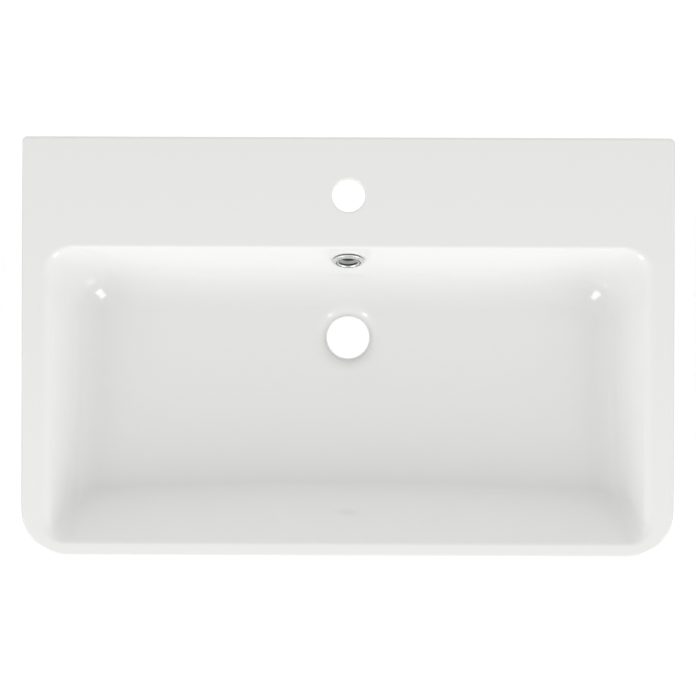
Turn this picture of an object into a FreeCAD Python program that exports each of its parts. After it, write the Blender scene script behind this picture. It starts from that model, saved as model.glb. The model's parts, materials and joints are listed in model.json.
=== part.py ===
"""A wall-hung block washbasin: one fired ceramic casting, with the push-in trim of its overflow.

X runs along the wall, Y points towards the wall, and Z is up. The origin is in the middle of the
foot, below the middle of the rim. Lengths are in millimetres and slopes in degrees.

The casting is a drafted block, hollow from below. A bowl hangs in it, as a second wall all round
the space where the water stands, and an overflow channel runs down behind the bowl to the waste.
"""
import FreeCAD, Part
import math
import os

import Sketcher
from FreeCAD import Rotation, Vector

DRIVING_SIZES = (
    ("basin_width", 700, "side to side at the rim"),
    ("basin_depth", 450, "front to wall at the rim"),
    ("basin_height", 160, "foot to rim"),
    ("front_corner", 50, "radius of the block's two front corners"),
    ("rear_corner", 5, "radius of the block's two corners at the wall"),
    ("skirt_inset", 6, "how far the foot stands in from the rim, front and sides"),
    ("skirt_wall", 12, "thickness of the front and side skirt"),
    ("rear_panel", 12, "thickness of the panel that stands against the wall"),
    ("deck_wall", 12, "thickness of the deck and rim"),
    ("hollow_round", 9, "rounding of the corners inside the underside"),
    ("rim_round", 3, "rounding of the block's upper edge"),
    ("foot_round", 2, "rounding of the edges beside the ground foot"),
    ("deck_depth", 118.5, "from the wall to the bowl's rear edge"),
    ("side_rim", 29, "from the block's side to the bowl's side wall, both met at the rim"),
    ("front_rim", 15.5, "from the block's front to the bowl's front wall, both met at the rim"),
    ("bowl_depth", 94, "from the rim to the lowest point of the bowl's floor"),
    ("bowl_wall", 11, "thickness of the bowl's walls and floor"),
    ("rear_slope", 69, "slope of the bowl's rear wall"),
    ("front_slope", 55, "slope of the bowl's front wall"),
    ("side_slope", 70, "slope of the bowl's side walls"),
    ("dish_front_to_back", 1050, "radius that the floor is dished to, front to back"),
    ("dish_side_to_side", 4400, "radius that the floor is dished to, side to side"),
    ("rear_cove", 44, "radius of the cove between the rear wall and the floor"),
    ("side_cove", 38, "radius of the cove between a side wall and the floor"),
    ("crease", 8, "radius of the crease between the front wall and the floor"),
    ("rear_floor_corner", 58, "radius of the bowl's rear corners at the floor"),
    ("rear_bowl_corner", 22, "radius of the bowl's rear corners above the rim"),
    ("front_bowl_corner", 24, "radius of the bowl's front corners above the rim"),
    ("rear_lip", 3.5, "rounding of the bowl's rear edge"),
    ("side_lip", 14, "soft roll from the rim into the bowl's side walls"),
    ("front_lip", 5.5, "rounding of the bowl's front edge"),
    ("waste_from_wall", 214, "from the wall to the waste's axis"),
    ("waste_bore", 47, "diameter of the waste hole"),
    ("waste_roll", 15, "radius of the roll from the floor down into the waste hole"),
    ("boss_width", 80, "outer diameter of the boss below the waste hole"),
    ("boss_above_foot", 12, "height of the boss's lower face"),
    ("boss_round", 5, "rounding of the boss's lower edge"),
    ("overflow_drop", 31, "from the rim to the centre of the overflow hole"),
    ("overflow_bore", 28, "diameter of the overflow hole"),
    ("channel_width", 50, "width of the overflow channel"),
    ("channel_depth", 12, "depth of the overflow channel, square to the bowl's wall"),
    ("channel_wall", 7, "thickness of the channel's cover"),
    ("cover_round", 9, "rounding of the cover's outer edges"),
    ("channel_top_drop", 16, "from the rim to the top of the channel"),
    ("outlet_width", 24, "width of the slot from the channel into the waste hole"),
    ("tap_from_wall", 62.5, "from the wall to the tap hole's axis"),
    ("tap_bore", 36, "diameter of the tap hole"),
    ("tap_pad", 70, "diameter of the thickening below the tap hole"),
    ("tap_pad_depth", 6, "height of the thickening below the deck"),
    ("fixing_spacing", 280, "between the two wall fixing holes"),
    ("fixing_drop", 100, "from the rim to the wall fixing holes"),
    ("fixing_bore", 18, "diameter of a wall fixing hole"),
    ("fixing_pad", 50, "diameter of the thickening round a wall fixing hole"),
    ("fixing_pad_depth", 6, "height of that thickening"),
    ("pad_round", 2.5, "rounding of the edges of those thickenings"),
    ("hole_round", 1.5, "rounding of the edges of the tap and fixing holes"),
    ("flange_width", 34, "diameter of the overflow ring's flange"),
    ("flange_edge", 2.2, "thickness of the flange at its rim"),
    ("flange_crown", 3.2, "thickness of the flange at the throat"),
    ("crown_width", 25, "diameter where the flange is thickest"),
    ("flange_round", 0.8, "rounding of the flange's edges"),
    ("throat", 21.5, "diameter of the overflow ring's throat"),
    ("tube_wall", 1.2, "thickness of the ring's tube"),
    ("tube_reach", 10, "how far the ring's tube reaches into the wall"),
    ("gasket_depth", 0.8, "thickness of the gasket below the flange"),
    ("gasket_inset", 0.8, "how far the gasket stays inside the flange's rim"),
    ("gasket_clearance", 0.2, "gap between the gasket and the sleeve"),
    ("sleeve_wall", 1.5, "thickness of the clip sleeve"),
    ("sleeve_reach", 12, "how far the sleeve reaches into the wall"),
    ("sleeve_clearance", 0.05, "gap between the sleeve and the ring's tube"),
    ("barb_clearance", 0.1, "gap between the sleeve's barbs and the hole"),
    ("barb_depth", 3, "length of the barbs at the sleeve's inner end"),
    ("slot_width", 2.4, "width of the slots between the sleeve's fingers"),
    ("slot_start", 4, "from the flange to the start of the slots"),
    ("overrun", 20, "how far a cut runs past the surface that it starts from"),
)

DERIVED_PLACES = (
    ("half_width", "=sizes.basin_width / 2", "block's side at the rim"),
    ("rear", "=sizes.basin_depth / 2", "the wall"),
    ("front", "=-sizes.basin_depth / 2", "block's front at the rim"),
    ("draft", "=sizes.skirt_inset / sizes.basin_height", "inset gained per height"),
    ("deck_underside", "=sizes.basin_height - sizes.deck_wall", "height"),
    ("bowl_side", "=half_width - sizes.side_rim", "bowl's side wall at the rim"),
    ("bowl_rear", "=rear - sizes.deck_depth", "bowl's rear wall at the rim"),
    ("bowl_front", "=front + sizes.front_rim", "bowl's front wall at the rim"),
    ("floor_height", "=sizes.basin_height - sizes.bowl_depth", "floor at the waste"),
    ("waste_place", "=rear - sizes.waste_from_wall", "the waste's axis"),
    ("tap_place", "=rear - sizes.tap_from_wall", "the tap hole's axis"),
    ("fixing_height", "=sizes.basin_height - sizes.fixing_drop", "height"),
    ("overflow_height", "=sizes.basin_height - sizes.overflow_drop", "height"),
    ("overflow_place", "=bowl_rear - sizes.overflow_drop / tan(sizes.rear_slope)",
     "where the overflow's axis meets the bowl's rear wall"),
    ("channel_bed", "=floor_height - sizes.bowl_wall - sizes.channel_depth",
     "height of the channel's bed below the bowl"),
    ("tube_outside", "=sizes.throat / 2 + sizes.tube_wall", "radius"),
    ("sleeve_inside", "=tube_outside + sizes.sleeve_clearance", "radius"),
    ("sleeve_outside", "=sleeve_inside + sizes.sleeve_wall", "radius"),
)

FINGERS = 6
UP_IS_OWN_Y = Rotation(Vector(1, 0, 0), 90)
ALONG_Y = Rotation(Vector(1, 0, 0), -90)
Z_AXIS_ALONG_Y_SEAM_UP = Rotation(Vector(1, 1, 1), -120)
YZ_SECTION = Rotation(Vector(1, 1, 1), 120)
NEAR_SHARE = 1e-4
IN_LINE_SHARE = 0.01

doc = FreeCAD.newDocument("washbasin")


def add_sheet(name, rows):
    """A spreadsheet with one alias, one cell and one remark to a row."""
    sheet = doc.addObject("Spreadsheet::Sheet", name)
    for row, (alias, cell, remark) in enumerate(rows, start=1):
        sheet.set(f"A{row}", alias)
        sheet.set(f"B{row}", str(cell))
        sheet.set(f"C{row}", remark)
        sheet.setAlias(f"B{row}", alias)
    doc.recompute()
    return sheet


add_sheet("sizes", DRIVING_SIZES)
places = add_sheet("places", DERIVED_PLACES)


def value(expression):
    """The number that an expression on the two sheets gives."""
    return float(places.evalExpression(expression))


def bind(item, **expressions):
    """Bind properties to the sheets: a double underscore in a name stands for a dot."""
    for prop, expression in expressions.items():
        item.setExpression(prop.replace("__", "."), expression)
    return item


def polygon(name, points, body=None, plane=None, rotation=None):
    """A closed sketch through points whose two coordinates are expressions on the sheets."""
    add = body.newObject if body else doc.addObject
    sketch = add("Sketcher::SketchObject", name)
    if body:
        origin_plane = [f for f in body.Origin.OriginFeatures if f.Role == plane][0]
        sketch.AttachmentSupport = [(origin_plane, "")]
        sketch.MapMode = "FlatFace"
    if rotation:
        sketch.Placement = FreeCAD.Placement(Vector(), rotation)
    spots = [Vector(value(across), value(up), 0) for across, up in points]
    for spot, following in zip(spots, spots[1:] + spots[:1]):
        sketch.addGeometry(Part.LineSegment(spot, following), False)
    for line, (across, up) in enumerate(points):
        following = (line + 1) % len(points)
        sketch.addConstraint(Sketcher.Constraint("Coincident", line, 2, following, 1))
        for direction, expression in (("DistanceX", across), ("DistanceY", up)):
            constraint = Sketcher.Constraint(direction, -1, 1, line, 1, value(expression))
            index = sketch.addConstraint(constraint)
            sketch.setExpression(f"Constraints[{index}]", expression)
    return sketch


def tapered_block(name, low, high):
    """A block with four flat sides between two levels, symmetric about the middle of the basin.

    Each level is its height, half its width, its front and its rear. The block's own Y stands up
    and its own Z points to the front, so the rear of a level is its lowest Z.
    """
    block = doc.addObject("Part::Wedge", name)
    block.Placement = FreeCAD.Placement(Vector(), UP_IS_OWN_Y)
    (foot, low_side, low_front, low_rear), (top, high_side, high_front, high_rear) = low, high
    bind(block, Ymin=foot, Ymax=top)
    bind(block, Xmin=f"-({low_side})", Xmax=low_side, Zmin=f"-({low_rear})", Zmax=f"-({low_front})")
    return bind(block, X2min=f"-({high_side})", X2max=high_side,
                Z2min=f"-({high_rear})", Z2max=f"-({high_front})")


def cylinder(name, diameter, height, x="0", y="0", z="0", rotation=None):
    """A round bar from one point along its own axis."""
    bar = doc.addObject("Part::Cylinder", name)
    if rotation:
        bar.Placement = FreeCAD.Placement(Vector(), rotation)
    bind(bar, Radius=f"({diameter}) / 2", Height=height)
    return bind(bar, Placement__Base__x=x, Placement__Base__y=y, Placement__Base__z=z)


def combine(kind, name, base, tool):
    """A cut or a common of two solids."""
    result = doc.addObject(kind, name)
    result.Base = base
    result.Tool = tool
    return result


def fuse(name, items):
    result = doc.addObject("Part::MultiFuse", name)
    result.Shapes = items
    result.Refine = True
    return result


def middle(edge):
    """The point halfway along an edge."""
    return edge.valueAt((edge.FirstParameter + edge.LastParameter) / 2)


def ends(edge):
    return edge.valueAt(edge.FirstParameter), edge.valueAt(edge.LastParameter)


def lies_at(edge, height):
    """Whether an edge lies level at a height."""
    near = value("sizes.basin_height") * NEAR_SHARE
    return all(abs(spot.z - height) < near for spot in (middle(edge), *ends(edge)))


def runs_on(first_edge, first_end, second_edge, second_end):
    """Whether two edges meet at these ends of theirs, and run on in line."""
    spots = [edge.valueAt(end) for edge, end in ((first_edge, first_end), (second_edge, second_end))]
    if (spots[0] - spots[1]).Length > value("sizes.basin_height") * NEAR_SHARE:
        return False
    lines = [edge.tangentAt(end) for edge, end in ((first_edge, first_end), (second_edge, second_end))]
    return lines[0].cross(lines[1]).Length < IN_LINE_SHARE


def along_chains(edges):
    """Which edges run against their chain. A chain of edges in line runs as its first edge does."""
    against, left = {}, dict(edges)
    while left:
        index = min(left)
        chain = [(index, left.pop(index))]
        against[index] = False
        for index, edge in chain:
            spans = [edge.FirstParameter, edge.LastParameter]
            start, end = reversed(spans) if against[index] else spans
            for other, item in list(left.items()):
                first, last = item.FirstParameter, item.LastParameter
                follows = runs_on(edge, end, item, first) or runs_on(edge, start, item, last)
                opposes = runs_on(edge, end, item, last) or runs_on(edge, start, item, first)
                if follows or opposes:
                    against[other] = not follows
                    chain.append((other, left.pop(other)))
    return against


def rounded(name, base, radii_of):
    """Round the edges of a solid. radii_of gives an edge its radii at its first and last point.

    Where edges run on in line, the rounding takes each edge's two radii in the chain's direction.
    """
    doc.recompute()
    edges = {i: edge for i, edge in enumerate(base.Shape.Edges, start=1) if not edge.Degenerated}
    radii = {index: pair for index, pair in ((i, radii_of(e)) for i, e in edges.items()) if pair}
    against = along_chains({index: edges[index] for index in radii})
    result = doc.addObject("Part::Fillet", name)
    result.Base = base
    result.Edges = [(index, *(reversed(pair) if against[index] else pair))
                    for index, pair in radii.items()]
    return result


def casting_block():
    """The outside of the casting: a drafted block, upright at the wall, with rounded corners."""
    inset = "sizes.skirt_inset"
    foot = ("0 mm", f"places.half_width - {inset}", f"places.front + {inset}", "places.rear")
    rim = ("sizes.basin_height", "places.half_width", "places.front", "places.rear")
    front, rear = value("sizes.front_corner"), value("sizes.rear_corner")
    height = value("sizes.basin_height")

    def corner_radii(edge):
        low, high = sorted(ends(edge), key=lambda point: point.z)
        if high.z - low.z < height / 2:
            return None
        return (rear, rear) if middle(edge).y > 0 else (front, front)

    def rim_radii(edge):
        return (value("sizes.rim_round"),) * 2 if lies_at(edge, height) else None

    cornered = rounded("cornered_block", tapered_block("sharp_block", foot, rim), corner_radii)
    return rounded("rounded_block", cornered, rim_radii)


def underside_hollow():
    """The space below the deck, inside the skirt and the rear panel, open at the foot."""
    def level(height):
        inset = f"((sizes.basin_height - ({height})) * places.draft + sizes.skirt_wall)"
        return (height, f"places.half_width - {inset}", f"places.front + {inset}",
                "places.rear - sizes.rear_panel")

    sharp = tapered_block("sharp_hollow", level("-sizes.overrun"), level("places.deck_underside"))
    front = max(value("sizes.front_corner - sizes.skirt_wall"), value("sizes.hollow_round"))
    small = value("sizes.hollow_round")

    def radii(edge):
        low, high = sorted(ends(edge), key=lambda point: point.z)
        if high.z < value("places.deck_underside") / 2:
            return None
        if high.z - low.z > value("sizes.overrun"):
            return (small, small) if middle(edge).y > 0 else (front, front)
        return (small, small)

    return rounded("hollow", sharp, radii)


def bowl(name, wall):
    """The bowl's space, grown outwards by a wall: sloped sides over a dished floor.

    A straight-sided block, as wide at each height as its four slopes make it, is cut below by a
    barrel-shaped floor. Its rear corners are rounded, wider towards the floor. The side walls and
    the rear wall then turn into the floor in one cove, and the front wall meets all of them in a
    crease that opens towards the rim.
    """
    def level(height):
        drop = f"(sizes.basin_height - ({height}))"
        side = (f"places.bowl_side - {drop} / tan(sizes.side_slope)"
                f" + {wall} / sin(sizes.side_slope)")
        rear = (f"places.bowl_rear - {drop} / tan(sizes.rear_slope)"
                f" + {wall} / sin(sizes.rear_slope)")
        front = (f"places.bowl_front + {drop} / tan(sizes.front_slope)"
                 f" - {wall} / sin(sizes.front_slope)")
        return height, side, front, rear

    lowest = f"places.floor_height - {wall}"
    walls = tapered_block(f"{name}_walls", level(f"{lowest} - sizes.overrun"),
                          level("sizes.basin_height + sizes.overrun"))

    floor = doc.addObject("Part::Torus", f"{name}_floor")
    floor.Placement = FreeCAD.Placement(Vector(), Z_AXIS_ALONG_Y_SEAM_UP)
    bind(floor, Radius1="sizes.dish_side_to_side - sizes.dish_front_to_back",
         Radius2=f"sizes.dish_front_to_back + {wall}", Placement__Base__y="places.waste_place",
         Placement__Base__z="places.floor_height + sizes.dish_side_to_side")
    sharp = combine("Part::Common", f"{name}_sharp", walls, floor)

    thickness = value(wall)
    bottom, rim = value(lowest), value("sizes.basin_height")
    top = value("sizes.basin_height + sizes.overrun")
    front_foot = value(f"places.bowl_front - {wall} / sin(sizes.front_slope)")
    front_rise = math.tan(math.radians(value("sizes.front_slope")))

    def on_front_wall(edge):
        return all(abs(front_foot + (rim - spot.z) / front_rise - spot.y) < rim * NEAR_SHARE
                   for spot in (middle(edge), *ends(edge)))

    def corner_radii(edge):
        first, last = ends(edge)
        if middle(edge).y < 0 or abs(first.z - last.z) < value("sizes.bowl_depth") / 2:
            return None
        lower = value("sizes.rear_floor_corner") + thickness
        upper = value("sizes.rear_bowl_corner") + thickness
        return (lower, upper) if first.z < last.z else (upper, lower)

    def cove_radii(edge):
        first, last = ends(edge)
        if on_front_wall(edge) or max(first.z, last.z) > rim:
            return None
        side, rear = value("sizes.side_cove") + thickness, value("sizes.rear_cove") + thickness
        across, along = abs(first.x - last.x), abs(first.y - last.y)
        if min(across, along) > value("sizes.overrun"):
            return (side, rear) if first.y < last.y else (rear, side)
        return (rear, rear) if across > along else (side, side)

    def front_radii(edge):
        if not on_front_wall(edge) or middle(edge).z > rim + value("sizes.overrun") / 2:
            return None
        gain = (value("sizes.front_bowl_corner") - value("sizes.crease")) / (top - bottom)
        return tuple(thickness + value("sizes.crease") + gain * (spot.z - bottom)
                     for spot in ends(edge))

    cornered = rounded(f"{name}_cornered", sharp, corner_radii)
    coved = rounded(f"{name}_coved", cornered, cove_radii)
    return rounded(name, coved, front_radii)


def round_ended(bar, round_size):
    """A bar with the edge round its first end rounded."""
    def radii(edge):
        near = value("sizes.basin_height") * NEAR_SHARE
        at_start = edge.isClosed() and (edge.Curve.Center - bar.Placement.Base).Length < near
        return (value(round_size),) * 2 if at_start else None

    return rounded(f"round_{bar.Name}", bar, radii)


def channel_section(name, cover, top):
    """The side view of the overflow channel, from the bowl's inside out to its cover.

    It goes down the back of the bowl's rear wall and then level to the waste. The bowl and the
    boss are taken away from it later, so its near side only has to lie inside them.
    """
    reach = f"(sizes.bowl_wall + sizes.channel_depth + {cover}) / sin(sizes.rear_slope)"
    bed = f"(places.channel_bed - {cover})"
    behind = "places.bowl_rear - (sizes.basin_height - {}) / tan(sizes.rear_slope) + " + reach
    return polygon(name, [
        ("places.bowl_rear - sizes.deck_depth / 2", top),
        (behind.format(f"({top})"), top),
        (behind.format(bed), bed),
        ("places.waste_place", bed),
        ("places.waste_place", "places.floor_height"),
    ], rotation=YZ_SECTION)


def slab(name, section, width):
    """A section in the YZ plane, carried to both sides."""
    item = doc.addObject("Part::Extrusion", name)
    item.Base = section
    item.DirMode = "Normal"
    item.Solid = True
    item.Symmetric = True
    return bind(item, LengthFwd=width)


def channel_cover():
    """The cover's outside, with its two long sides and the bend between them rounded."""
    sharp = slab("sharp_cover", channel_section("cover_section", "sizes.channel_wall",
                                                "places.deck_underside + sizes.deck_wall / 2"),
                 "sizes.channel_width + 2 * sizes.channel_wall")
    height = value("sizes.basin_height")
    near = height * NEAR_SHARE
    bed = value("places.channel_bed - sizes.channel_wall")
    drop_per_depth = math.tan(math.radians(value("sizes.rear_slope")))
    back = value("places.bowl_rear + (sizes.bowl_wall + sizes.channel_depth + sizes.channel_wall)"
                 " / sin(sizes.rear_slope)")

    def radii(edge):
        spots = [middle(edge), *ends(edge)]
        behind = all(back - spot.y < (height - spot.z) / drop_per_depth + near for spot in spots)
        below = all(spot.z < bed + near for spot in spots)
        is_bend = behind and below
        is_long_side = (behind or below) and abs(spots[0].x) > near
        return (value("sizes.cover_round"),) * 2 if is_bend or is_long_side else None

    return rounded("channel_cover", sharp, radii)


def overflow_channel(bowl_outside, boss):
    """The channel's cover, and the air in it with its slot into the waste hole."""
    air = slab("channel_air", channel_section("air_section", "0 * sizes.channel_wall",
                                              "sizes.basin_height - sizes.channel_top_drop"),
               "sizes.channel_width")
    behind_bowl = combine("Part::Cut", "air_behind_bowl", air, bowl_outside)
    behind_boss = combine("Part::Cut", "air_behind_boss", behind_bowl, boss)
    outlet = doc.addObject("Part::Box", "outlet_space")
    bind(outlet, Length="sizes.outlet_width", Width="sizes.boss_width / 2 + sizes.channel_wall",
         Height="sizes.channel_depth", Placement__Base__x="-sizes.outlet_width / 2",
         Placement__Base__y="places.waste_place", Placement__Base__z="places.channel_bed")
    return channel_cover(), fuse("channel_space", [behind_boss, outlet])


def on_rear_wall(item):
    """Stand an item on the overflow's axis: its own Z points out of the bowl's rear wall."""
    item.Placement = FreeCAD.Placement(Vector(), Rotation(Vector(1, 0, 0), value("sizes.rear_slope")))
    return bind(item, Placement__Rotation__Angle="sizes.rear_slope",
                Placement__Base__y="places.overflow_place", Placement__Base__z="places.overflow_height")


def overflow_hole():
    """The overflow hole: square to the bowl's rear wall, and through it into the channel."""
    depth = "sizes.bowl_wall + sizes.channel_depth / 2"
    hole = doc.addObject("Part::Cylinder", "overflow_space")
    bind(hole, Radius="sizes.overflow_bore / 2", Height=f"{depth} + sizes.overrun")
    on_rear_wall(hole)
    sine, cosine = "sin(sizes.rear_slope)", "cos(sizes.rear_slope)"
    return bind(hole, Placement__Base__y=f"places.overflow_place + ({depth}) * {sine}",
                Placement__Base__z=f"places.overflow_height - ({depth}) * {cosine}")


def fixing_bars(name, diameter, start, length):
    """Two level bars along Y at the wall fixing holes."""
    return [cylinder(f"{name}_{side}", diameter, length, x=f"{sign}sizes.fixing_spacing / 2",
                     y=start, z="places.fixing_height", rotation=ALONG_Y)
            for side, sign in (("left", "-"), ("right", ""))]


def block_with_bowl():
    """The block with the bowl sunk into it.

    The bowl's opening has a small radius at the rear, a soft roll at the sides and a small radius
    at the front. Each corner arc carries the roll from one radius to the next. The waste hole is
    bored here too, because the floor rolls down into it, and later cuts then meet that roll.
    """
    rim, side = value("sizes.basin_height"), value("places.bowl_side")
    front, rear = value("places.bowl_front"), value("places.bowl_rear")
    waste, bore = value("places.waste_place"), value("sizes.waste_bore / 2")
    near = rim * NEAR_SHARE

    def lip_at(spot):
        if abs(spot.x) > side - near:
            return value("sizes.side_lip")
        return value("sizes.rear_lip") if spot.y > 0 else value("sizes.front_lip")

    def radii(edge):
        first, last = ends(edge)
        spots = (middle(edge), first, last)
        on_bore = all(abs(math.hypot(spot.x, spot.y - waste) - bore) < near for spot in spots)
        if on_bore and min(spot.z for spot in spots) > near:
            return (value("sizes.waste_roll"),) * 2
        within = all(abs(spot.x) < side + near and front - near < spot.y < rear + near
                     for spot in (first, last))
        return (lip_at(first), lip_at(last)) if within and lies_at(edge, rim) else None

    waste_bore = cylinder("waste_bore_space", "sizes.waste_bore",
                          "places.floor_height + 2 * sizes.overrun",
                          y="places.waste_place", z="-sizes.overrun")
    spaces = fuse("bowl_and_waste", [bowl("bowl_space", "0 * sizes.bowl_wall"), waste_bore])
    opened = combine("Part::Cut", "block_with_bowl", casting_block(), spaces)
    return rounded("rounded_openings", opened, radii)


def carved_casting():
    """The rounded block with its underside hollowed out round the bowl, and all its holes."""
    bowl_outside = bowl("bowl_outside", "sizes.bowl_wall")
    boss = round_ended(
        cylinder("waste_boss", "sizes.boss_width", "places.floor_height - sizes.boss_above_foot",
                 y="places.waste_place", z="sizes.boss_above_foot"), "sizes.boss_round")
    cover, channel_space = overflow_channel(bowl_outside, boss)
    tap_pad = cylinder("tap_pad", "sizes.tap_pad", "sizes.tap_pad_depth + sizes.deck_wall / 2",
                       y="places.tap_place", z="places.deck_underside - sizes.tap_pad_depth")
    fixing_pads = fixing_bars("fixing_pad", "sizes.fixing_pad",
                              "places.rear - sizes.rear_panel - sizes.fixing_pad_depth",
                              "sizes.fixing_pad_depth + sizes.rear_panel / 2")
    pads = [round_ended(pad, "sizes.pad_round") for pad in (tap_pad, *fixing_pads)]
    hanging = fuse("hanging_below_deck", [bowl_outside, boss, cover, *pads])
    underside = combine("Part::Cut", "underside_space", underside_hollow(), hanging)

    tap_space = cylinder("tap_space", "sizes.tap_bore",
                         "sizes.deck_wall + sizes.tap_pad_depth + 2 * sizes.overrun",
                         y="places.tap_place",
                         z="places.deck_underside - sizes.tap_pad_depth - sizes.overrun")
    fixing_spaces = fixing_bars(
        "fixing_space", "sizes.fixing_bore",
        "places.rear - sizes.rear_panel - sizes.fixing_pad_depth - sizes.overrun",
        "sizes.fixing_pad_depth + sizes.rear_panel + 2 * sizes.overrun")
    holes = fuse("holes", [overflow_hole(), channel_space, tap_space, *fixing_spaces])
    hollowed = combine("Part::Cut", "hollowed_block", block_with_bowl(), underside)
    return combine("Part::Cut", "carved_casting", hollowed, holes)


def basin_body():
    """The casting, with the edges of its holes and of its foot rounded."""
    near = value("sizes.basin_height") * NEAR_SHARE
    bores = [value(f"sizes.{bore} / 2") for bore in ("tap_bore", "fixing_bore")]

    def radii(edge):
        if lies_at(edge, 0):
            return (value("sizes.foot_round"),) * 2
        if edge.isClosed() and any(abs(edge.Curve.Radius - bore) < near for bore in bores):
            return (value("sizes.hole_round"),) * 2
        return None

    casting = rounded("casting", carved_casting(), radii)
    casting.Label = "basin_body"
    return casting


def turned_body(label, profile):
    """A body turned about the overflow's axis. A profile point is its radius and its height."""
    body = doc.addObject("PartDesign::Body", label)
    section = polygon(f"{label}_section", profile, body=body, plane="XZ_Plane")
    turning = body.newObject("PartDesign::Revolution", f"{label}_turning")
    turning.Profile = section
    turning.ReferenceAxis = (section, ["V_Axis"])
    turning.Angle = 360
    on_rear_wall(body)
    doc.recompute()
    return body, turning


def overflow_ring():
    """The bright ring: a crowned flange on the bowl's wall, and a tube down into the hole."""
    tube, flange = "places.tube_outside", "sizes.flange_width / 2"
    crown, rim = "sizes.gasket_depth + sizes.flange_crown", "sizes.gasket_depth + sizes.flange_edge"
    body, turning = turned_body("overflow_ring", [
        ("sizes.throat / 2", "-sizes.tube_reach"),
        (tube, "-sizes.tube_reach"),
        (tube, "sizes.gasket_depth"),
        (flange, "sizes.gasket_depth"),
        (flange, rim),
        ("sizes.crown_width / 2", crown),
        ("sizes.throat / 2", crown),
    ])
    near = value("sizes.flange_edge") * NEAR_SHARE
    upper = [f"Edge{index}" for index, edge in enumerate(turning.Shape.Edges, start=1)
             if edge.isClosed() and middle(edge).z > value(rim) - near]
    rounding = body.newObject("PartDesign::Fillet", "flange_rounding")
    rounding.Base = (turning, upper)
    bind(rounding, Radius="sizes.flange_round")
    body.Tip = rounding
    return body


def overflow_gasket():
    """The soft washer between the flange and the glazed wall."""
    inside = "places.sleeve_outside + sizes.gasket_clearance"
    outside = "sizes.flange_width / 2 - sizes.gasket_inset"
    body, _ = turned_body("overflow_gasket", [
        (inside, "0 * sizes.gasket_depth"),
        (outside, "0 * sizes.gasket_depth"),
        (outside, "sizes.gasket_depth"),
        (inside, "sizes.gasket_depth"),
    ])
    return body


def overflow_clip_sleeve():
    """The sleeve on the ring's tube: its slotted fingers spring against the hole."""
    barb = "sizes.overflow_bore / 2 - sizes.barb_clearance"
    body, turning = turned_body("overflow_clip_sleeve", [
        ("places.sleeve_inside", "-sizes.sleeve_reach"),
        ("places.sleeve_outside", "-sizes.sleeve_reach"),
        (barb, "sizes.barb_depth / 2 - sizes.sleeve_reach"),
        (barb, "sizes.barb_depth - sizes.sleeve_reach"),
        ("places.sleeve_outside", "sizes.barb_depth - sizes.sleeve_reach"),
        ("places.sleeve_outside", "sizes.gasket_depth"),
        ("places.sleeve_inside", "sizes.gasket_depth"),
    ])
    side, top = "sizes.slot_width / 2", "sizes.gasket_depth - sizes.slot_start"
    bottom = "-sizes.sleeve_reach - sizes.barb_depth"
    outline = [(f"-{side}", bottom), (side, bottom), (side, top), (f"-{side}", top)]
    slot = body.newObject("PartDesign::Pocket", "sleeve_slot")
    slot.Profile = polygon("slot_section", outline, body=body, plane="XZ_Plane")
    bind(slot, Length="sizes.overflow_bore")
    slots = body.newObject("PartDesign::PolarPattern", "sleeve_slots")
    slots.Originals = [slot]
    slots.Axis = ([f for f in body.Origin.OriginFeatures if f.Role == "Z_Axis"][0], [""])
    slots.Angle = 360
    slots.Occurrences = FINGERS
    body.Tip = slots
    return body


def check_and_export(parts):
    """Write each part's solid, once everything in the document has turned out whole."""
    doc.recompute()
    for item in doc.Objects:
        if "Invalid" in item.State or "Error" in item.State:
            raise RuntimeError(f"{item.Label} failed: {item.State}")
    for part in parts:
        if part.Shape.isNull() or not part.Shape.isValid():
            raise RuntimeError(f"{part.Label} is no valid solid")
    os.makedirs("parts", exist_ok=True)
    for part in parts:
        part.Shape.exportStep(f"parts/{part.Label}.step")
        print(part.Label, len(part.Shape.Solids), "solid", round(part.Shape.Volume), "cubic mm")


check_and_export([basin_body(), overflow_ring(), overflow_gasket(), overflow_clip_sleeve()])
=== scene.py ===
# %% [markdown]
# # A wall-hung washbasin, dressed for its picture
# The part is one fired ceramic casting and the push-in trim of its overflow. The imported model
# gives every place and size, in metres. This file gives what the eye follows on the real thing:
# glaze that pools and thins, the bare clay where it was ground, a plated ring with rounded
# edges, and the light that shows them.

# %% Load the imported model
import json
import math

import bpy
import numpy as np
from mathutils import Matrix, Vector


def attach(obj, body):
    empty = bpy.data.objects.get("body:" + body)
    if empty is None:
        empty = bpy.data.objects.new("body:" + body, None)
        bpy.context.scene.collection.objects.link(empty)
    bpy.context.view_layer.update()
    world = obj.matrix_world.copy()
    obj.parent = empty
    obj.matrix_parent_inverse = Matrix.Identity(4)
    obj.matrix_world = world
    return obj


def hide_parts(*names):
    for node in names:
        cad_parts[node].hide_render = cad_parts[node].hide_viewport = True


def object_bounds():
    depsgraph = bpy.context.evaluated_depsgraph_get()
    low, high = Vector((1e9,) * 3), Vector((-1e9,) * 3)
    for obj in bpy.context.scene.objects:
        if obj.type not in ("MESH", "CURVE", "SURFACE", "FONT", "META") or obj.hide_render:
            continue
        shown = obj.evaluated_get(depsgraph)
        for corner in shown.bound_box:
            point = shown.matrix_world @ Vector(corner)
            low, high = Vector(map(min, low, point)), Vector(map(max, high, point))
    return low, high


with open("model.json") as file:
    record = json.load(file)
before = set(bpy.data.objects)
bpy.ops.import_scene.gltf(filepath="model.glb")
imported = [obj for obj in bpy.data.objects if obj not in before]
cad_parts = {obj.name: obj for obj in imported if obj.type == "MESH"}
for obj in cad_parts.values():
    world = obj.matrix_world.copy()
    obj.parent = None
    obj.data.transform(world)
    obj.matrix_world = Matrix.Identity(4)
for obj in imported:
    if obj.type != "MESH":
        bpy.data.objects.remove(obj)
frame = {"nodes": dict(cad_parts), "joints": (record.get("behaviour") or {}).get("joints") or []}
cad_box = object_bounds()
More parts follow.
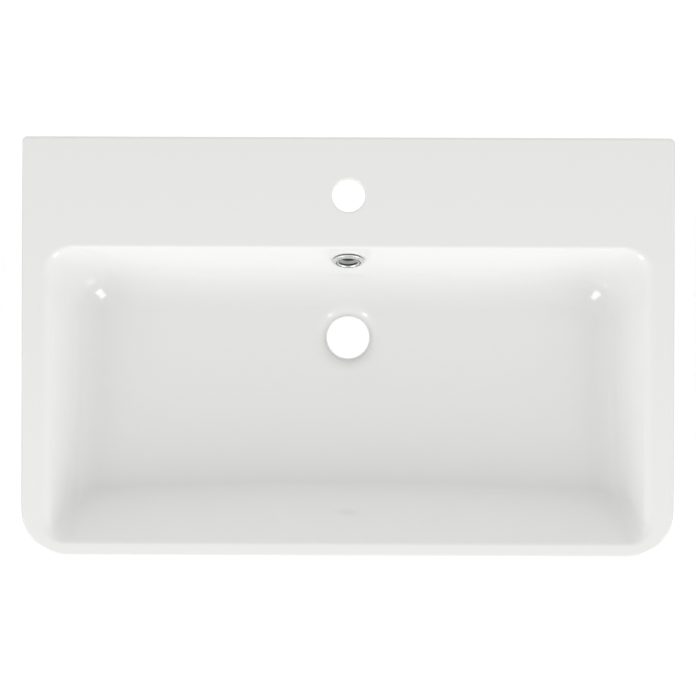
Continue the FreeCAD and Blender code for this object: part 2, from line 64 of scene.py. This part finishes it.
MM = 0.001
print("nodes", sorted(frame["nodes"]))

# %% [markdown]
# ## The camera
# A catalogue picture of a basin is often taken from straight above, with a long lens, so that
# the rim and the floor keep nearly the same scale.

# %% Place the camera
VIEW_DISTANCE = 3.2
VIEW_WIDTH = 0.7457
VIEW_ROLL = math.radians(0.2)
VIEW_SHIFT = Vector((0.0, -0.0009, 0.0))

rim_middle = Vector((0, 0, cad_box[1].z))
camera = bpy.data.objects.new("camera", bpy.data.cameras.new("camera"))
camera.data.sensor_width = 36
camera.data.lens = camera.data.sensor_width * VIEW_DISTANCE / VIEW_WIDTH
camera.location = rim_middle + VIEW_SHIFT + Vector((0, 0, VIEW_DISTANCE))
camera.rotation_euler = (0, 0, VIEW_ROLL)
bpy.context.scene.collection.objects.link(camera)
bpy.context.scene.camera = camera
bpy.context.scene.view_settings.view_transform = "Standard"
print("lens", round(camera.data.lens, 1), "mm, at", round(camera.location.z, 3), "m")


# %% Make tools for node trees
def add(tree, kind, inputs=None, **settings):
    """A node with its settings. An input takes a plain value, or another node's output."""
    node = tree.nodes.new(kind)
    for name, setting in settings.items():
        setattr(node, name, setting)
    for name, value in (inputs or {}).items():
        if isinstance(value, bpy.types.NodeSocket):
            tree.links.new(value, node.inputs[name])
        else:
            node.inputs[name].default_value = value
    return node


def calculate(tree, operation, *values):
    """The result of a sum on values or outputs."""
    return add(tree, "ShaderNodeMath", dict(enumerate(values)), operation=operation).outputs[0]


def ramp(tree, value, start, end):
    """0 up to the start and 1 from the end, and a soft step between. The start may be the larger."""
    node = add(tree, "ShaderNodeMapRange",
               {"Value": value, "From Min": start, "From Max": end}, interpolation_type="SMOOTHSTEP")
    return node.outputs["Result"]


def blend(tree, share, first, second):
    """The mix of two colours."""
    node = add(tree, "ShaderNodeMix", data_type="RGBA")
    for socket, value in ((node.inputs["Factor"], share), (node.inputs[6], first),
                          (node.inputs[7], second)):
        if isinstance(value, bpy.types.NodeSocket):
            tree.links.new(value, socket)
        else:
            socket.default_value = value
    return node.outputs[2]


def new_group(name, inputs, output, output_kind):
    """A node group with inputs of a name, a kind and a value, and one output."""
    group = bpy.data.node_groups.new(name, "ShaderNodeTree")
    for label, kind, value in inputs:
        socket = group.interface.new_socket(label, in_out="INPUT", socket_type=kind)
        if value is not None:
            socket.default_value = value
    group.interface.new_socket(output, in_out="OUTPUT", socket_type=output_kind)
    return group, group.nodes.new("NodeGroupInput").outputs, group.nodes.new("NodeGroupOutput").inputs


def use(tree, group, **inputs):
    """A group used in a tree. It gives the group's one output."""
    node = add(tree, "ShaderNodeGroup", node_tree=group)
    for name, value in inputs.items():
        socket = node.inputs[name.replace("_", " ")]
        if isinstance(value, bpy.types.NodeSocket):
            tree.links.new(value, socket)
        else:
            socket.default_value = value
    return node.outputs[0]


def new_material(name):
    """An empty node material with its tree and the surface input of its output."""
    material = bpy.data.materials.new(name)
    material.use_nodes = True
    material.node_tree.nodes.clear()
    output = material.node_tree.nodes.new("ShaderNodeOutputMaterial")
    return material, material.node_tree, output.inputs["Surface"]


# %% [markdown]
# ## Two effects that all the finishes share
# No fired, moulded or plated surface is dead flat. Its reflections waver a little over a few
# centimetres, and finer than that it is mottled by pores, dust or the mould. Both are made once
# here, from the place on the piece in metres, and each finish sets its own size and depth.

# %% Build the shared node groups
waver, given, result = new_group("waver", [
    ("Place", "NodeSocketVector", None),
    ("Waves per metre", "NodeSocketFloat", 30.0),
    ("Height", "NodeSocketFloat", 0.0001),
], "Normal", "NodeSocketVector")
swell = add(waver, "ShaderNodeTexNoise", {
    "Vector": given["Place"], "Scale": given["Waves per metre"], "Detail": 1.0})
tilt = add(waver, "ShaderNodeBump", {
    "Strength": 1.0, "Distance": given["Height"], "Height": swell.outputs[0]})
waver.links.new(tilt.outputs[0], result["Normal"])

mottle, given, result = new_group("mottle", [
    ("Place", "NodeSocketVector", None),
    ("Spots per metre", "NodeSocketFloat", 600.0),
    ("Cover", "NodeSocketFloat", 0.5),
], "Mask", "NodeSocketFloat")
cloud = add(mottle, "ShaderNodeTexNoise", {
    "Vector": given["Place"], "Scale": given["Spots per metre"], "Detail": 4.0, "Roughness": 0.6})
low = calculate(mottle, "MULTIPLY_ADD", given["Cover"], -0.4, 0.7)
high = calculate(mottle, "ADD", low, 0.15)
mottle.links.new(ramp(mottle, cloud.outputs[0], low, high), result["Mask"])
print("groups", [group.name for group in bpy.data.node_groups])

# %% [markdown]
# ## The glaze
# A sanitary glaze is a third of a millimetre of opaque white glass over a clay body. It runs off
# edges before it sets, so a rounded edge shows a little of the warm body, and it pools in
# hollows, where it is deepest and faintly green. Underneath, only overspray lands, which is
# thinner and duller. The foot and the back are ground after firing and show bare, porous clay.
#
# The basin's only sharp edges are at its rim, so the glaze thins there wherever the surface turns
# away from level. It pools by height, deepest on the floor. The bare clay starts where the height
# above the foot, or the distance from the back plane, falls below a wavering line.
#
# Each pair of limits below is where an effect starts and where it is complete.

# %% Make the glaze
GLAZE = (0.88, 0.882, 0.865, 1)
GLAZE_POOLED = (0.862, 0.872, 0.85, 1)
GLAZE_THIN = (0.875, 0.865, 0.84, 1)
CLAY = (0.72, 0.66, 0.58, 1)
CLAY_PORE = (0.5, 0.44, 0.37, 1)
POOL_HEIGHTS = (0.125, 0.062)
OVERSPRAY_FACING = (0.05, -0.35)
EDGE_FACING = (0.98, 0.8)
EDGE_BELOW_RIM = (4 * MM, 1 * MM)
FOOT_GROUND = (1.8 * MM, 1.2 * MM)
BACK_GROUND = (0.3 * MM, 0.2 * MM)
FOOT_WANDER = 2 * MM
GLAZE_IOR = 1.52

material, tree, surface = new_material("glaze")
place = add(tree, "ShaderNodeTexCoord").outputs["Object"]
part = add(tree, "ShaderNodeSeparateXYZ", {"Vector": place}).outputs
facing = add(tree, "ShaderNodeSeparateXYZ", {
    "Vector": add(tree, "ShaderNodeNewGeometry").outputs["Normal"]}).outputs["Z"]

drift = add(tree, "ShaderNodeTexNoise", {"Vector": place, "Scale": 9.0, "Detail": 2.0}).outputs[0]
depth = ramp(tree, part["Z"], *POOL_HEIGHTS)
pooled = calculate(tree, "MULTIPLY", depth, calculate(tree, "MULTIPLY_ADD", drift, 0.6, 0.4))
glass = blend(tree, pooled, GLAZE, GLAZE_POOLED)
overspray = ramp(tree, facing, *OVERSPRAY_FACING)
edge = calculate(tree, "MULTIPLY", ramp(tree, facing, *EDGE_FACING),
                 ramp(tree, part["Z"], *(cad_box[1].z - drop for drop in EDGE_BELOW_RIM)))
thinned = calculate(tree, "MULTIPLY", calculate(tree, "MAXIMUM", overspray, edge), 0.6)
glass = blend(tree, thinned, glass, GLAZE_THIN)

wander = calculate(tree, "MULTIPLY_ADD",
                   add(tree, "ShaderNodeTexNoise", {"Vector": place, "Scale": 60.0}).outputs[0],
                   FOOT_WANDER, -FOOT_WANDER / 2)
above_foot = calculate(tree, "ADD", part["Z"], wander)
ground_foot = ramp(tree, above_foot, *FOOT_GROUND)
before_back = calculate(tree, "SUBTRACT", cad_box[1].y, part["Y"])
ground_back = ramp(tree, before_back, *BACK_GROUND)
bare = calculate(tree, "MAXIMUM", ground_foot, ground_back)
pores = use(tree, mottle, Place=place, Spots_per_metre=900.0, Cover=0.35)
clay = blend(tree, pores, CLAY, CLAY_PORE)

smears = use(tree, mottle, Place=place, Spots_per_metre=14.0, Cover=0.55)
polish = calculate(tree, "MULTIPLY_ADD", smears, 0.02, 0.02)
dulled = calculate(tree, "MULTIPLY_ADD", overspray, 0.18, polish)
roughness = calculate(tree, "MAXIMUM", dulled, calculate(tree, "MULTIPLY", bare, 0.85))

glaze = add(tree, "ShaderNodeBsdfPrincipled", {
    "Base Color": blend(tree, bare, glass, clay),
    "Roughness": roughness,
    "IOR": GLAZE_IOR,
    "Normal": use(tree, waver, Place=place, Waves_per_metre=26.0, Height=0.03 * MM),
})
tree.links.new(glaze.outputs[0], surface)
frame["nodes"]["basin_body"].material_slots[0].material = material
print("glaze has", len(tree.nodes), "nodes")

# %% [markdown]
# ## Chrome, plastic and rubber
# The ring is white plastic with a bright chromium plate. Plating follows each mark of the mould,
# so fine haze is left in it, and it wavers less than the glaze does. The bath plates a narrow
# bore only near its mouth, so the white plastic shows from a few millimetres down. Deeper still
# the bore is painted dark: painted shade for the unlit channel beyond the ring's end. The sleeve
# is natural, unpigmented plastic that a hot mould has left satin. The gasket is black rubber
# with a dry, greyish bloom.
#
# One function makes all three. The chrome is then changed by the depth in its bore, which the
# ring's mesh carries as an attribute.

# %% Make the finishes of the trim
def finish(name, body, mark, marks_per_metre, cover, roughness, marked_roughness, wave):
    """A finish with one colour, and another where its marks are. It gives its tree and shader too."""
    material, tree, surface = new_material(name)
    place = add(tree, "ShaderNodeTexCoord").outputs["Object"]
    marks = use(tree, mottle, Place=place, Spots_per_metre=marks_per_metre, Cover=cover)
    skin = add(tree, "ShaderNodeBsdfPrincipled", {
        "Base Color": blend(tree, marks, body, mark),
        "Roughness": calculate(tree, "MULTIPLY_ADD", marks, marked_roughness - roughness, roughness),
        "Normal": use(tree, waver, Place=place, Waves_per_metre=wave[0], Height=wave[1]),
    })
    tree.links.new(skin.outputs[0], surface)
    return material, tree, skin


BARE_PLASTIC = (0.8, 0.81, 0.78, 1)
PAINTED_SHADE_DARK = (0.1, 0.11, 0.1, 1)
PLATING_ENDS = (3 * MM, 4 * MM)
PAINTED_SHADE_STARTS = (6.9 * MM, 7.6 * MM)

chrome, tree, skin = finish("chrome", (0.86, 0.87, 0.87, 1), (0.8, 0.81, 0.82, 1), 2200.0, 0.4,
                               0.05, 0.12, (90.0, 0.004 * MM))
depth = add(tree, "ShaderNodeAttribute", attribute_name="bore").outputs["Fac"]
unplated = ramp(tree, depth, *PLATING_ENDS)
# Deep in the bore the colour is painted dark: painted shade where the channel beyond the ring would
# be unlit.
plastic_and_painted_shade = blend(tree, ramp(tree, depth, *PAINTED_SHADE_STARTS), BARE_PLASTIC, PAINTED_SHADE_DARK)
colour, roughness = (skin.inputs[name].links[0].from_socket for name in ("Base Color", "Roughness"))
tree.links.new(blend(tree, unplated, colour, plastic_and_painted_shade), skin.inputs["Base Color"])
tree.links.new(calculate(tree, "MAXIMUM", roughness, calculate(tree, "MULTIPLY", unplated, 0.4)),
               skin.inputs["Roughness"])
tree.links.new(calculate(tree, "SUBTRACT", 1.0, unplated), skin.inputs["Metallic"])

plastic = finish("natural_plastic", (0.8, 0.8, 0.77, 1), (0.74, 0.74, 0.71, 1), 1500.0, 0.5,
                 0.35, 0.5, (300.0, 0.01 * MM))[0]
rubber = finish("black_rubber", (0.025, 0.025, 0.027, 1), (0.07, 0.07, 0.068, 1), 1800.0, 0.4,
                0.55, 0.75, (400.0, 0.01 * MM))[0]
frame["nodes"]["overflow_clip_sleeve"].material_slots[0].material = plastic
print("finishes", [finished.name for finished in (chrome, plastic, rubber)])

# %% [markdown]
# ## The trim's turned pieces
# The mould of a round piece is cut on a lathe, from one outline. So each piece here is one closed
# outline, turned about the overflow's axis. Its corners are arcs, since
# a bright edge is only seen where the metal turns, and each point keeps its exact normal.
#
# The axis is the one that the trim slides along, and all measures are read from the packed
# pieces, in three directions: out from the wall, up the wall and along it.

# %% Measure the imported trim
pull = next(joint for joint in frame["joints"] if joint["name"] == "overflow_trim_pull")
outward = np.array(pull["axis"], float)
outward /= np.linalg.norm(outward)
along = np.array((1.0, 0.0, 0.0))
up_wall = np.cross(outward, along)


def spots_of(node):
    """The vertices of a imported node, as an array of points."""
    mesh = frame["nodes"][node].data
    spots = np.empty(len(mesh.vertices) * 3)
    mesh.vertices.foreach_get("co", spots)
    return spots.reshape(-1, 3)


ring_up = spots_of("overflow_ring") @ up_wall
axis_up = (ring_up.min() + ring_up.max()) / 2


def reaches(node):
    """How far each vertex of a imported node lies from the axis, and how far out along it."""
    spots = spots_of(node)
    return np.hypot(spots @ along, spots @ up_wall - axis_up), spots @ outward


away, out = reaches("overflow_ring")
flange, throat = away.max(), away.min()
crown, tube_end = out.max(), out.min()
flange_back = out[away > flange - 0.01 * MM].min()
tube = away[out < tube_end + 0.01 * MM].max()
print("ring: flange", round(flange / MM, 2), "throat", round(throat / MM, 2),
      "tube", round(tube / MM, 2), "crown", round((crown - flange_back) / MM, 2), "mm")


# %% Turn the ring and the gasket
CORNER_STEPS = 10
TURN_STEPS = 224
EDGE_HEIGHT = 1.9 * MM
SLOPE_WIDTH = 2.9 * MM
RING_CORNERS = (0.3 * MM, 0.2 * MM, 1.4 * MM, 0.5 * MM, 3.5 * MM, 1.6 * MM, 0.3 * MM)
GASKET_CORNERS = (0.15 * MM, 0.3 * MM, 0.3 * MM, 0.15 * MM)
FACES_THE_AXIS = -0.7


def rounded_outline(corners, radii):
    """The points and outward normals of a closed outline whose corners are arcs.

    At each corner, an arc of its radius touches both sides, at the radius times the tangent of
    half the turn from the corner. Its points stand at even angles about its centre, and their
    normals point away from the centre on an outward corner and to it on a hollow one. The
    corners go round with the solid on their left.
    """
    corners = np.array(corners, float)
    before = corners - np.roll(corners, 1, axis=0)
    before /= np.linalg.norm(before, axis=1)[:, None]
    after = np.roll(before, -1, axis=0)
    turn = np.arctan2(before[:, 0] * after[:, 1] - before[:, 1] * after[:, 0],
                      (before * after).sum(axis=1))
    shares = np.linspace(0, 1, CORNER_STEPS)
    start = np.arctan2(-before[:, 0], before[:, 1])
    angles = start[:, None] + turn[:, None] * shares
    normals = np.stack((np.cos(angles), np.sin(angles)), axis=2)
    radii = np.array(radii)[:, None] * np.sign(turn)[:, None]
    first = corners - before * (radii * np.tan(turn[:, None] / 2))
    centres = first - radii * normals[:, 0]
    return (centres[:, None] + radii[:, None] * normals).reshape(-1, 2), normals.reshape(-1, 2)


def turned(name, corners, radii, material):
    """A closed outline turned about the overflow's axis, as a grid that closes on itself.

    A corner is its distance from the axis and how far out it lies. A point at an angle stands
    that distance from the axis, by the cosine along the wall and by the sine up the wall. The
    attribute "bore" is the depth below the front of points that face the axis, and else 0.
    """
    outline, slopes = rounded_outline(corners, radii)
    bore = np.where(slopes[:, 0] < FACES_THE_AXIS, outline[:, 1].max() - outline[:, 1], 0.0)
    angles = np.arange(TURN_STEPS) * (2 * math.pi / TURN_STEPS)
    spokes = np.cos(angles)[:, None] * along + np.sin(angles)[:, None] * up_wall

    def swept(pairs):
        return (pairs[:, 0][:, None, None] * spokes + pairs[:, 1][:, None, None] * outward)

    points = (swept(outline) + up_wall * axis_up).reshape(-1, 3)
    normals = swept(slopes).reshape(-1, 3)
    grid = np.arange(len(points)).reshape(len(outline), TURN_STEPS)
    right, above = np.roll(grid, -1, axis=1), np.roll(grid, -1, axis=0)
    faces = np.stack((grid, right, np.roll(right, -1, axis=0), above), axis=2).reshape(-1, 4)
    mesh = bpy.data.meshes.new(name)
    mesh.from_pydata(points, [], faces)
    mesh.shade_smooth()
    mesh.normals_split_custom_set_from_vertices(normals)
    mesh.attributes.new("bore", "FLOAT", "POINT").data.foreach_set(
        "value", np.repeat(bore, TURN_STEPS))
    mesh.materials.append(material)
    piece = bpy.data.objects.new(name, mesh)
    bpy.context.scene.collection.objects.link(piece)
    print(name, len(mesh.vertices), "points")
    return piece


ring = turned("overflow_ring_turned", [
    (tube, tube_end),
    (tube, flange_back),
    (flange, flange_back),
    (flange, flange_back + EDGE_HEIGHT),
    (flange - SLOPE_WIDTH, crown),
    (throat, crown),
    (throat, tube_end),
], RING_CORNERS, chrome)

away, out = reaches("overflow_gasket")
gasket = turned("overflow_gasket_moulded", [
    (away.min(), out.min()),
    (away.max(), out.min()),
    (away.max(), out.max()),
    (away.min(), out.max()),
], GASKET_CORNERS, rubber)

for piece, node, slot in ((ring, "overflow_ring", "ring_chrome"),
                          (gasket, "overflow_gasket", "gasket_rubber")):
    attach(piece, "overflow_trim")
    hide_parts(node)


# %% [markdown]
# ## The stage
# The picture stands on pure white, so the floor adds a glow of its own for the camera, for
# reflections and through the holes, but takes the basin's shadow. It lies a tenth of a
# millimetre below the foot, so that the two faces don't fight for the same place. Below the
# basin's hollow it would be in full shade, so a card there glows alone and keeps the holes white.
#
# White on white has no outline. So a black flag stands at each side, lower than the rim: no
# light that falls into the bowl meets it, but the outer edges mirror it as a thin grey line. The
# camera doesn't see it and the lamps shine through it, as it would be retouched away.

# %% Make the floor and its white
FLOOR_HALF = 6
FLOOR_HEIGHT = -0.1 * MM
CARD_HALF, CARD_FRONT, CARD_BACK, CARD_HEIGHT = 0.31, -0.18, 0.2, 0.5 * MM
FLAG_PLACE, FLAG_HALF, FLAG_HEIGHT = 0.5, 0.3, 0.14


def stage_material(name, grey, glow):
    """A matt grey that adds a glow of its own for the eye, for reflections and through glass."""
    material, tree, surface = new_material(name)
    matt = add(tree, "ShaderNodeBsdfPrincipled", {"Base Color": (grey, grey, grey, 1),
                                                  "Roughness": 0.9})
    path = add(tree, "ShaderNodeLightPath").outputs
    seen = calculate(tree, "MAXIMUM", path["Is Camera Ray"], path["Is Glossy Ray"])
    seen = calculate(tree, "MAXIMUM", seen, path["Is Transmission Ray"])
    glowing = add(tree, "ShaderNodeEmission", {"Strength": calculate(tree, "MULTIPLY", seen, glow)})
    both = add(tree, "ShaderNodeAddShader", {0: matt.outputs[0], 1: glowing.outputs[0]})
    tree.links.new(both.outputs[0], surface)
    return material


def sheet_of(name, corners, material):
    """A flat sheet of the stage, with four corners."""
    mesh = bpy.data.meshes.new(name)
    mesh.from_pydata(corners, [], [(0, 1, 2, 3)])
    mesh.materials.append(material)
    sheet = bpy.data.objects.new(name, mesh)
    bpy.context.scene.collection.objects.link(sheet)
    return sheet


def level_sheet(name, half_x, front, back, height, material):
    """A level rectangle of the stage."""
    return sheet_of(name, [(-half_x, front, height), (half_x, front, height),
                           (half_x, back, height), (-half_x, back, height)], material)


floor_white = stage_material("floor_white", 0.85, 0.5)
card_white = stage_material("card_white", 0.0, 1.0)
flag_black = stage_material("flag_black", 0.01, 0.0)
level_sheet("floor", FLOOR_HALF, -FLOOR_HALF, FLOOR_HALF, FLOOR_HEIGHT, floor_white)
level_sheet("card", CARD_HALF, CARD_FRONT, CARD_BACK, CARD_HEIGHT, card_white)
for name, x in (("left_flag", -FLAG_PLACE), ("right_flag", FLAG_PLACE)):
    flag = sheet_of(name, [(x, -FLAG_HALF, 0), (x, FLAG_HALF, 0),
                           (x, FLAG_HALF, FLAG_HEIGHT), (x, -FLAG_HALF, FLAG_HEIGHT)], flag_black)
    flag.visible_camera = flag.visible_shadow = False
print("stage", ["floor", "card", "left_flag", "right_flag"])


# %% [markdown]
# ## The light
# Two tall soft boxes stand in front, left and right. Their images are the streaks in the rear
# corners and behind the waste hole. The rest is a pale room, and its strength is a sum of one
# share for each direction, so that each face of the bowl can be set by itself: the rear wall
# looks to the front, the front wall to the back, and the deck up.

# %% Light the basin
BOX_ASIDE, BOX_FRONT, BOX_HEIGHT = 1.25, -1.81, 1.35
BOX_SIZE = (0.48, 2.1)
BOX_WATTS = 18
SKY_SIDES = 1.14
SKY_BEHIND = 0.92
SKY_IN_FRONT = 0.6
SKY_TOP = 0.53


def soft_box(name, place, aim, size, power):
    """A rectangular lamp at a place, turned to what it lights."""
    lamp = bpy.data.objects.new(name, bpy.data.lights.new(name, "AREA"))
    lamp.data.shape = "RECTANGLE"
    lamp.data.size, lamp.data.size_y = size
    lamp.data.energy = power
    lamp.location = place
    lamp.rotation_euler = (Vector(aim) - Vector(place)).to_track_quat("-Z", "Y").to_euler()
    bpy.context.scene.collection.objects.link(lamp)
    return lamp


for name, side in (("left_strip", -1), ("right_strip", 1)):
    soft_box(name, (side * BOX_ASIDE, BOX_FRONT, BOX_HEIGHT), (0, 0, BOX_HEIGHT), BOX_SIZE,
             BOX_WATTS)

world = bpy.data.worlds.new("studio")
bpy.context.scene.world = world
world.use_nodes = True
sky = world.node_tree
toward = add(sky, "ShaderNodeTexCoord").outputs["Generated"]
squares = add(sky, "ShaderNodeVectorMath", {0: toward, 1: toward}, operation="MULTIPLY").outputs[0]
around = add(sky, "ShaderNodeVectorMath", {
    0: squares, 1: (SKY_SIDES, SKY_BEHIND, SKY_TOP)}, operation="DOT_PRODUCT").outputs["Value"]
in_front = calculate(sky, "LESS_THAN", add(sky, "ShaderNodeSeparateXYZ", {
    "Vector": toward}).outputs["Y"], 0.0)
forward = add(sky, "ShaderNodeSeparateXYZ", {"Vector": squares}).outputs["Y"]
strength = calculate(sky, "MULTIPLY_ADD", calculate(sky, "MULTIPLY", in_front, forward),
                     SKY_IN_FRONT - SKY_BEHIND, around)
sky.nodes["Background"].inputs["Color"].default_value = (1, 1, 1, 1)
sky.links.new(strength, sky.nodes["Background"].inputs["Strength"])
print("boxes of", BOX_WATTS, "W, sky of", len(sky.nodes), "nodes")
